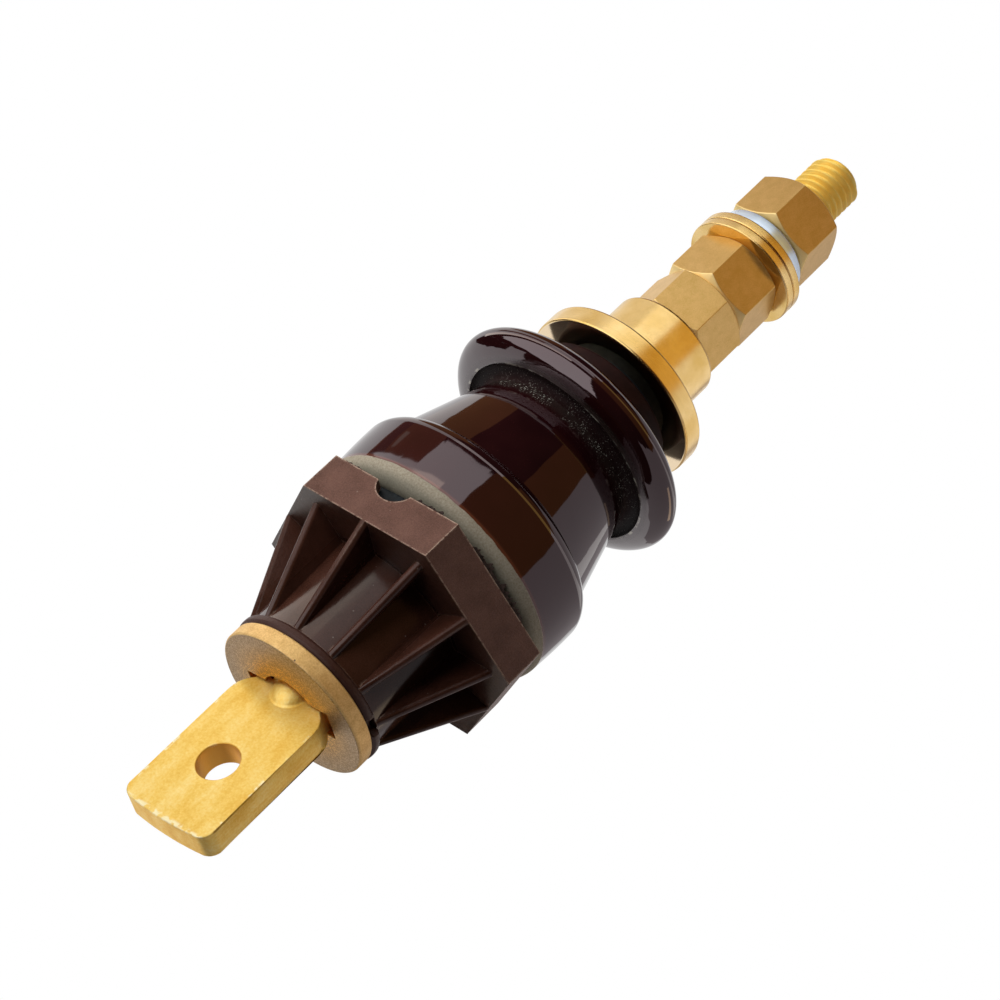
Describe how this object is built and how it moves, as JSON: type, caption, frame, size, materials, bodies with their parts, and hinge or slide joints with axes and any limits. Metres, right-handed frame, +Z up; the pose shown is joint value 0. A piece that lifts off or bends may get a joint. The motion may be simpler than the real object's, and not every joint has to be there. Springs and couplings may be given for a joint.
{
  "type": "transformer bushing",
  "caption": "Low-voltage transformer bushing: brown glazed porcelain over a ribbed hexagonal plastic insulator, clamped by brass nuts on a threaded stud with a flat drilled palm.",
  "frame": {"origin": "centre of the underside of the porcelain's foot, where it seats on the transformer's cover", "axes": "+Z up along the stud towards the terminal thread, X across the palm's width, Y through the palm"},
  "size_m": [0.0618, 0.0562, 0.2069],
  "materials": {
    "brass": "satin, lightly worn",
    "dull_brass": "blasted, matt",
    "brown_plastic": "satin",
    "brown_glaze": "gloss",
    "black_rubber": "matt",
    "zinc": "zinc plated"
  },
  "bodies": {
    "root": {"stud": "brass", "bottom_washer": "dull_brass", "neck_ring": "brown_plastic", "lower_insulator": "brown_plastic", "tank_gasket": "black_rubber", "porcelain_insulator": "brown_glaze", "top_seal": "black_rubber", "thrust_cap": "brass", "clamp_nut": "brass", "lock_nut": "brass", "lower_flat_washer": "brass", "upper_flat_washer": "brass", "spring_washer": "zinc", "terminal_nut": "brass"}
  },
  "joints": []
}
